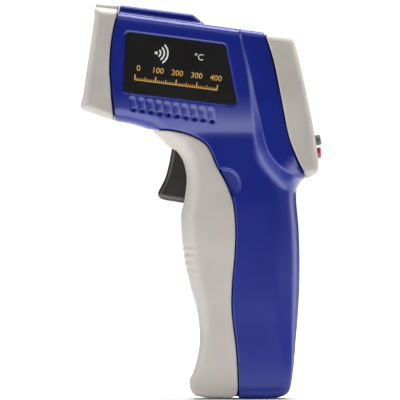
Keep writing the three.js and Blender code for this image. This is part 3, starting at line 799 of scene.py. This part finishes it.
colours = {
    "blue": (0.0012, 0.012, 0.225),
    "grey": (0.49, 0.455, 0.415),
    "black": (0.012, 0.012, 0.013),
    "trigger": (0.016, 0.012, 0.009),
    "dark key": (0.085, 0.09, 0.088),
    "red key": (0.52, 0.018, 0.03),
    "label": (0.005, 0.0042, 0.0038),
    "amber": (0.74, 0.42, 0.1),
    "white ink": (0.8, 0.8, 0.78),
}
finishes = {
    "blue_plastic": moulded("blueMoulding", colours["blue"], 0.28, wear=0.3, coat=0.3, specular=0.35),
    "grey_plastic": moulded("greyMoulding", colours["grey"], 0.44, grainDepth=0.03, wear=0.15),
    "black_plastic": moulded("blackMoulding", colours["black"], 0.5, wear=0.2),
    "trigger_plastic": moulded("triggerMoulding", colours["trigger"], 0.34, wear=0.9),
    "dark_key": rubber("darkKeyRubber", colours["dark key"], 0.5, 0.25, 0.015),
    "red_key": rubber("redKeyRubber", colours["red key"], 0.42, 0.25, 0.012),
    "label_film": film("labelFilm", colours["label"], 0.24),
    "clear_plastic": clear("clearWindow", (0.93, 0.95, 0.95), 0.03, 0.95),
    "infrared_glass": clear("infraredLens", (0.2, 0.16, 0.26), 0.06, 0.35),
    "laser_filter": clear("laserFilter", (0.05, 0.004, 0.006), 0.05, 0.12),
    "lcd_glass": film("lcdGlass", (0.24, 0.28, 0.22), 0.18),
    "diffuser": film("diffuser", (0.8, 0.82, 0.82), 0.4),
    "circuit_board": circuitBoard("solderMask"),
    "black_rubber": rubber("blackRubber", (0.018, 0.018, 0.019)),
    "flex_film": film("flexFilm", (0.36, 0.19, 0.045), 0.3),
    "foam": rubber("foamPad", (0.05, 0.05, 0.055), 0.9, 0.9, 0.25),
    "battery_case": batteryCase("batteryCase"),
    "red_wire": rubber("redWire", (0.42, 0.018, 0.02), 0.45, 0.6, 0.01),
    "black_wire": rubber("blackWire", (0.014, 0.014, 0.015), 0.45, 0.6, 0.01),
    "brass": metal("turnedBrass", (0.62, 0.43, 0.16), 0.24, (4, 0.3, 0.3)),
    "steel": metal("platedSteel", (0.56, 0.56, 0.57), 0.26),
}
amberInk = film("amberInk", colours["amber"], 0.4)
whiteInk = film("whiteInk", colours["white ink"], 0.4)
for node, part in frame["nodes"].items():
    part.data.materials.clear()
    part.data.materials.append(finishes["laser_filter" if node == "laser_window" else slotOf[node]])
print("materials ready")


# Moulded shells, in place of the CAD's plain ones
step = 0.42
fineStep = 0.3

for name, side in (("left_housing", -1), ("right_housing", 1)):
    standFor(housingHalf(name + "_shell", side, step), name, finishes["blue_plastic"])
print("housing halves meshed")
standFor(noseCap("nose_cap_shell", 0.4), "nose_cap", finishes["grey_plastic"])
standFor(displayBezel("display_bezel_shell", 0.4), "display_bezel",
         finishes["grey_plastic"])
standFor(batteryDoor("battery_door_shell", step), "battery_door", finishes["grey_plastic"], "battery_door")
standFor(triggerBody("trigger_body", fineStep), "trigger", finishes["trigger_plastic"], "trigger")
for name, keyBody, look in (("button_left", "left_key", "dark_key"),
                            ("button_right", "right_key", "dark_key"),
                            ("button_laser", "laser_key", "red_key")):
    standFor(keyCap(name + "_cap", keys[name], fineStep), name, finishes[look], keyBody)
print("nose, bezel, door, trigger and keys meshed")


# Labels: a black film in the recess of each side, with a scale and a small heat mark printed on it
printing = {
    "thickness": 0.03,
    "sunk": 0.01,
    "film depth": 0.36,
    "scale": {"up": -7.4, "length": 34, "line": 0.35, "ticks": 40, "tick width": 0.32,
              "tick heights": (2.2, 1.5, 0.9)},
    "numbers": {"count": 5, "step": 100, "size": 3.3, "first": -16, "pitch": 8, "up": -2.6},
    "heat mark": {"right": -9.5, "up": 4.6, "radii": (1.7, 3.2, 4.7), "line": 0.62, "half angle": 52,
                  "dot": 1.1},
    "unit": {"right": 8, "up": 5, "size": 3.6},
}
labelSlope = math.atan2(-5.45, 42.5)
labelMiddle = (-9.4, 136.1)


# a flat plate from a side outline, between two distances along Y
def plate(name, loops, near, far):
    vertices, faces = [], []
    for loop in loops:
        start, count = len(vertices), len(loop)
        vertices += [(px * mm, near * mm, pz * mm) for px, pz in loop]
        vertices += [(px * mm, far * mm, pz * mm) for px, pz in loop]
        faces.append([start + i for i in range(count)])
        faces.append([start + count + i for i in reversed(range(count))])
        for i in range(count):
            j = (i + 1) % count
            faces.append([start + j, start + i, start + count + i, start + count + j])
    mesh = bpy.data.meshes.new(name)
    mesh.from_pydata(vertices, [], faces)
    mesh.validate()
    mesh.update()
    return addObject(name, mesh)


def roundedLoop(points, radius, steps=6):
    loop = []
    for i, point in enumerate(points):
        corner = np.array(point, float)
        before = np.array(points[i - 1], float) - corner
        after = np.array(points[(i + 1) % len(points)], float) - corner
        before, after = before / np.linalg.norm(before), after / np.linalg.norm(after)
        reach = radius / math.tan(math.acos(np.dot(before, after)) / 2)
        start, end = corner + before * reach, corner + after * reach
        for t in np.linspace(0, 1, steps):
            loop.append(tuple((1 - t) ** 2 * start + 2 * t * (1 - t) * corner + t * t * end))
    return loop


# a point on the label, from its own axes: right along the slope and up across it
def onLabel(right, up, side):
    turn = math.cos(labelSlope), math.sin(labelSlope)
    if side > 0:
        right = -right
    return labelMiddle[0] + right * turn[0] - up * turn[1], labelMiddle[1] + right * turn[1] + up * turn[0]


def strip(right, up, width, height, side):
    return [onLabel(right + a * width / 2, up + b * height / 2, side) for a,
            b in ((-1, -1), (1, -1), (1, 1), (-1, 1))]


def arcStrip(middle, radius, width, start, end, side, steps=10):
    angles = np.radians(np.linspace(start, end, steps))
    points = [(radius + width / 2, a) for a in angles] + [(radius - width / 2, a) for a in angles[::-1]]
    return [onLabel(middle[0] + reach * math.cos(a), middle[1] + reach * math.sin(a), side) for reach,
            a in points]


def lettering(name, words, size, right, up, side, material):
    curve = bpy.data.curves.new(name, "FONT")
    curve.body = words
    curve.size = size * mm
    curve.align_x = curve.align_y = "CENTER"
    curve.extrude = printing["thickness"] / 2 * mm
    curve.resolution_u = 3
    piece = addObject(name, curve)
    px, pz = onLabel(right, up, side)
    piece.location = (px * mm, side * labelTop * mm, pz * mm)
    lean = labelSlope * side
    piece.rotation_euler = (math.pi / 2, lean, 0) if side < 0 else (math.pi / 2, lean, math.pi)
    curve.materials.append(material)
    return piece


# amber scale line with its ticks: every tenth is tall and wide, and every fifth is middling
def scaleLoops(side):
    scale = printing["scale"]
    up, length, ticks = scale["up"], scale["length"], scale["ticks"]
    loops = [strip(0, up, length, scale["line"], side)]
    for i in range(ticks + 1):
        tall = scale["tick heights"][0 if i % 10 == 0 else 1 if i % 5 == 0 else 2]
        wide = scale["tick width"] * (1.3 if i % 10 == 0 else 0.8)
        loops.append(strip(-length / 2 + length * i / ticks, up + tall / 2, wide, tall, side))
    return loops


# white heat mark: three arcs spreading from a dot
def heatLoops(side):
    mark = printing["heat mark"]
    right, up, angle = mark["right"], mark["up"], mark["half angle"]
    loops = [arcStrip((right, up), radius, mark["line"], -angle, angle, side) for radius in mark["radii"]]
    return loops + [strip(right - 0.1, up, mark["dot"], mark["dot"], side)]


labelTop = body["barrel half width"] - 0.02
for side, node in ((-1, "left_label"), (1, "right_label")):
    filmSides = sorted((side * (labelTop - printing["film depth"]), side * labelTop))
    filmLoop = roundedLoop(label["film corners"], label["corner radius"])
    backing = plate(node + "_film", [filmLoop], *filmSides)
    standFor(backing, node, finishes["label_film"])
    ink = sorted((side * (labelTop - printing["sunk"]), side * (labelTop + printing["thickness"])))
    printed = [plate(node + "_scale", scaleLoops(side), *ink),
               plate(node + "_heat_mark", heatLoops(side), *ink)]
    for piece, colour in zip(printed, (amberInk, whiteInk)):
        piece.data.materials.append(colour)
    numbers, unit = printing["numbers"], printing["unit"]
    for i in range(numbers["count"]):
        printed.append(lettering(f"{node}_number_{i}", str(i * numbers["step"]), numbers["size"],
                                 numbers["first"] + numbers["pitch"] * i, numbers["up"], side, amberInk))
    printed.append(lettering(node + "_unit", "°C", unit["size"], unit["right"], unit["up"],
                             side, whiteInk))
    for piece in printed:
        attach(piece, housingBody)
print("labels printed")


# Housing screws with a cross recess, seen at the bottom of the holes on the right side
crosshead = {"head radius": 2.2, "head": (8.3, 10), "shank radius": 1.05, "shank": (-7, 9),
             "slot half width": 0.3, "slot reach": 1.3, "slot floor": 9}


def crossheadScrew(name, x, z, step):
    block = Block((x - 2.6, -7.4, z - 2.6), (x + 2.6, 10.4, z + 2.6), step)
    head = roundMax(rod(block, x, z, crosshead["head radius"]), slabBetween(block.y, *crosshead["head"]),
                    0.5)
    shank = np.maximum(rod(block, x, z, crosshead["shank radius"]),
                       slabBetween(block.y, *crosshead["shank"]))
    alongX, alongZ = np.abs(block.x - x), np.abs(block.z - z)
    thin, reach = crosshead["slot half width"], crosshead["slot reach"]
    cross = np.minimum(np.maximum(alongX - thin, alongZ - reach), np.maximum(alongZ - thin, alongX - reach))
    field = np.maximum(np.minimum(head, shank), -np.maximum(cross, crosshead["slot floor"] - block.y))
    return block.mesh(field, name)


screwStep = 0.18
for i, (x, z) in enumerate(screws["places"], 1):
    standFor(crossheadScrew(f"crosshead_screw_{i}", x, z, screwStep), f"housing_screw_{i}",
             finishes["steel"])
print("screws ready")


# Studio: a pale sweep for a floor, soft boxes and a long lens at the height of the grip
studio = {
    "sweep": {"half width": 0.7, "front": -0.9, "back": 4.3, "curve": 0.5, "height": 1.2,
              "colour": (0.86, 0.86, 0.86)},
    "camera": {"distance": 3.5, "height": 0.0816, "across": -0.0004, "field": 0.1648},
    "sky": {"light": 0.07, "seen": 1},
}


def sweep(name):
    shape = studio["sweep"]
    profile = [(shape["front"], 0), (shape["back"] - shape["curve"], 0)]
    for angle in np.linspace(0, math.pi / 2, 14)[1:]:
        profile.append((shape["back"] - shape["curve"] + shape["curve"] * math.sin(angle),
                        shape["curve"] * (1 - math.cos(angle))))
    profile.append((shape["back"], shape["height"]))
    vertices = [(side * shape["half width"], y, z - 0.0002) for y, z in profile for side in (-1, 1)]
    faces = [(2 * i, 2 * i + 1, 2 * i + 3, 2 * i + 2) for i in range(len(profile) - 1)]
    mesh = bpy.data.meshes.new(name)
    mesh.from_pydata(vertices, [], faces)
    mesh.polygons.foreach_set("use_smooth", [True] * len(faces))
    piece = addObject(name, mesh)
    paint = Paint(name + "Paper")
    fibres = paint.noise(0.8, 4, 0.6)
    tone = shape["colour"]
    mesh.materials.append(paint.finish({
        "Base Color": paint.mix(fibres, tint(tone, 0.985), tint(tone, 1.015)),
        "Roughness": fibres * 0.1 + 0.8, "Normal": paint.bump(fibres, 0.01)}))
    return piece


def softBox(name, place, target, size, power, diffuse=True, glossy=True):
    lamp = bpy.data.lights.new(name, "AREA")
    lamp.shape = "RECTANGLE"
    lamp.size, lamp.size_y = size
    lamp.energy = power
    piece = addObject(name, lamp)
    piece.location = place
    piece.rotation_euler = (Vector(target) - Vector(place)).to_track_quat("-Z", "Y").to_euler()
    piece.visible_camera = False
    piece.visible_diffuse, piece.visible_glossy = diffuse, glossy


floor = sweep("paper_sweep")
middle = (0, 0, 0.085)
softBox("key_light", (-0.62, -0.6, 0.45), middle, (0.3, 0.45), 1.1)
softBox("left_strip", (-0.75, -0.3, 0.14), middle, (0.36, 0.5), 2.4)
softBox("right_fill", (0.8, -0.2, 0.2), middle, (0.3, 0.6), 1.7, glossy=False)
softBox("right_rim", (0.7, 0.36, 0.25), middle, (0.25, 0.6), 1.4)
softBox("front_sheen", (0.1, -0.9, 0.75), middle, (0.8, 0.25), 2, diffuse=False)
softBox("top_light", (0.05, -0.12, 0.8), middle, (0.5, 0.2), 3)
softBox("floor_glow", (0, -0.115, 0.004), (0, -0.115, 1), (0.6, 0.17), 1, diffuse=False)
softBox("far_light", (0, 2.4, 1.1), (0, 2.7, 0), (1, 3), 45)
softBox("wall_light", (0, 0.15, 0.9), (0, 0.75, 0.25), (1.4, 0.2), 22)


# the room behind looks pale, but gives little light
def paleRoom(name, sky):
    room = Paint(name, isWorld=True)
    seen = room.node("ShaderNodeLightPath", {}, {}, "Is Camera Ray")
    strength = seen.between(0, 1, sky["light"], sky["seen"])
    glow = room.node("ShaderNodeBackground", {}, {"Color": (1, 1, 1, 1), "Strength": strength})
    room.node("ShaderNodeOutputWorld", {}, {"Surface": glow}, None)
    return room.owner


bpy.context.scene.world = paleRoom("studio", studio["sky"])
bpy.context.scene.view_settings.view_transform = "Standard"

lens = bpy.data.cameras.new("long_lens")
lens.sensor_width = 36
lens.lens = 36 * studio["camera"]["distance"] / studio["camera"]["field"]
lens.clip_end = 20
camera = addObject("long_lens", lens)
camera.location = (studio["camera"]["across"], -studio["camera"]["distance"], studio["camera"]["height"])
camera.rotation_euler = (math.pi / 2, 0, 0)
bpy.context.scene.camera = camera
print("studio ready")
